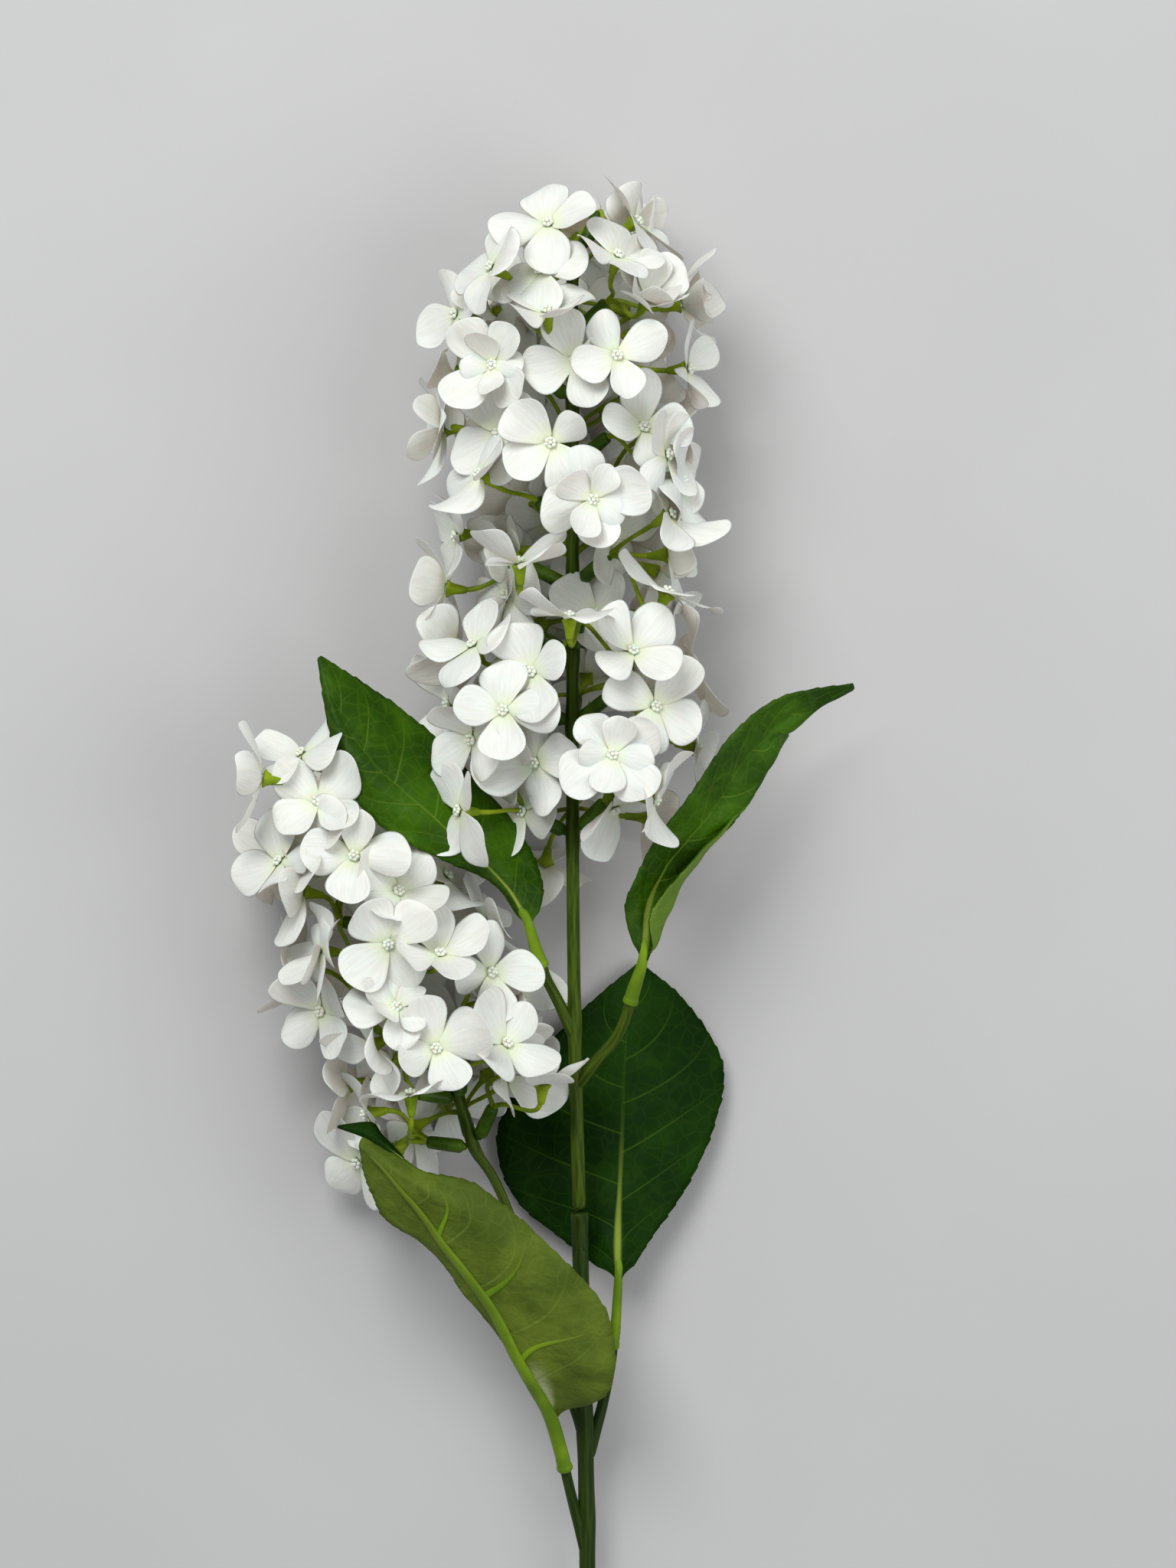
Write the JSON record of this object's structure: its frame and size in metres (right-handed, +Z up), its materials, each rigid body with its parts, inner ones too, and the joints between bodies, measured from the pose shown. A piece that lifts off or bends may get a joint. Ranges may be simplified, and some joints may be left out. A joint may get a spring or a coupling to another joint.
{
  "type": "artificial lilac stem",
  "caption": "Artificial white lilac stem lying flat: a tall flower head, a smaller side head and broad toothed leaves on a wired green plastic stem.",
  "frame": {"origin": "on the flat spot under the stem, by its cut end, on the surface that the stem lies on", "axes": "+Y along the stem to the tip of the flower head, +Z up from the surface, +X to the right as seen from above with the tip away"},
  "size_m": [0.2019, 0.6477, 0.0947],
  "materials": {
    "lower_stem": "dark green moulded plastic, satin",
    "upper_stem": "olive green moulded plastic, satin",
    "petiole": "light green moulded plastic, slightly glossy",
    "leaf": "printed green fabric, paler underneath",
    "petals": "white fabric petals on glossy green plastic pedicels",
    "wire": "plain steel wire"
  },
  "bodies": {
    "root": {"lower_stem": "lower_stem", "upper_stem": "upper_stem", "side_stem": "upper_stem", "wire_core": "wire", "leaf_back": "leaf", "petiole_back": "petiole", "leaf_front": "leaf", "petiole_front": "petiole", "leaf_right": "leaf", "petiole_right": "petiole", "leaf_upper_left": "leaf", "petiole_upper_left": "petiole", "main_spray_01": "petals", "main_spray_02": "petals", "main_spray_03": "petals", "main_spray_04": "petals", "main_spray_05": "petals", "main_spray_06": "petals", "main_spray_07": "petals", "main_spray_08": "petals", "main_spray_09": "petals", "main_spray_10": "petals", "main_spray_11": "petals", "main_spray_12": "petals", "main_spray_13": "petals", "main_spray_14": "petals", "main_spray_15": "petals", "main_spray_16": "petals", "main_spray_17": "petals", "main_spray_18": "petals", "main_spray_19": "petals", "main_spray_20": "petals", "main_spray_21": "petals", "main_spray_22": "petals", "main_spray_23": "petals", "main_spray_24": "petals", "main_spray_25": "petals", "main_spray_26": "petals", "side_spray_01": "petals", "side_spray_02": "petals", "side_spray_03": "petals", "side_spray_04": "petals", "side_spray_05": "petals", "side_spray_06": "petals", "side_spray_07": "petals", "side_spray_08": "petals", "side_spray_09": "petals", "side_spray_10": "petals", "side_spray_11": "petals", "side_spray_12": "petals", "side_spray_13": "petals", "side_spray_14": "petals", "side_spray_15": "petals", "side_spray_16": "petals"}
  },
  "joints": []
}
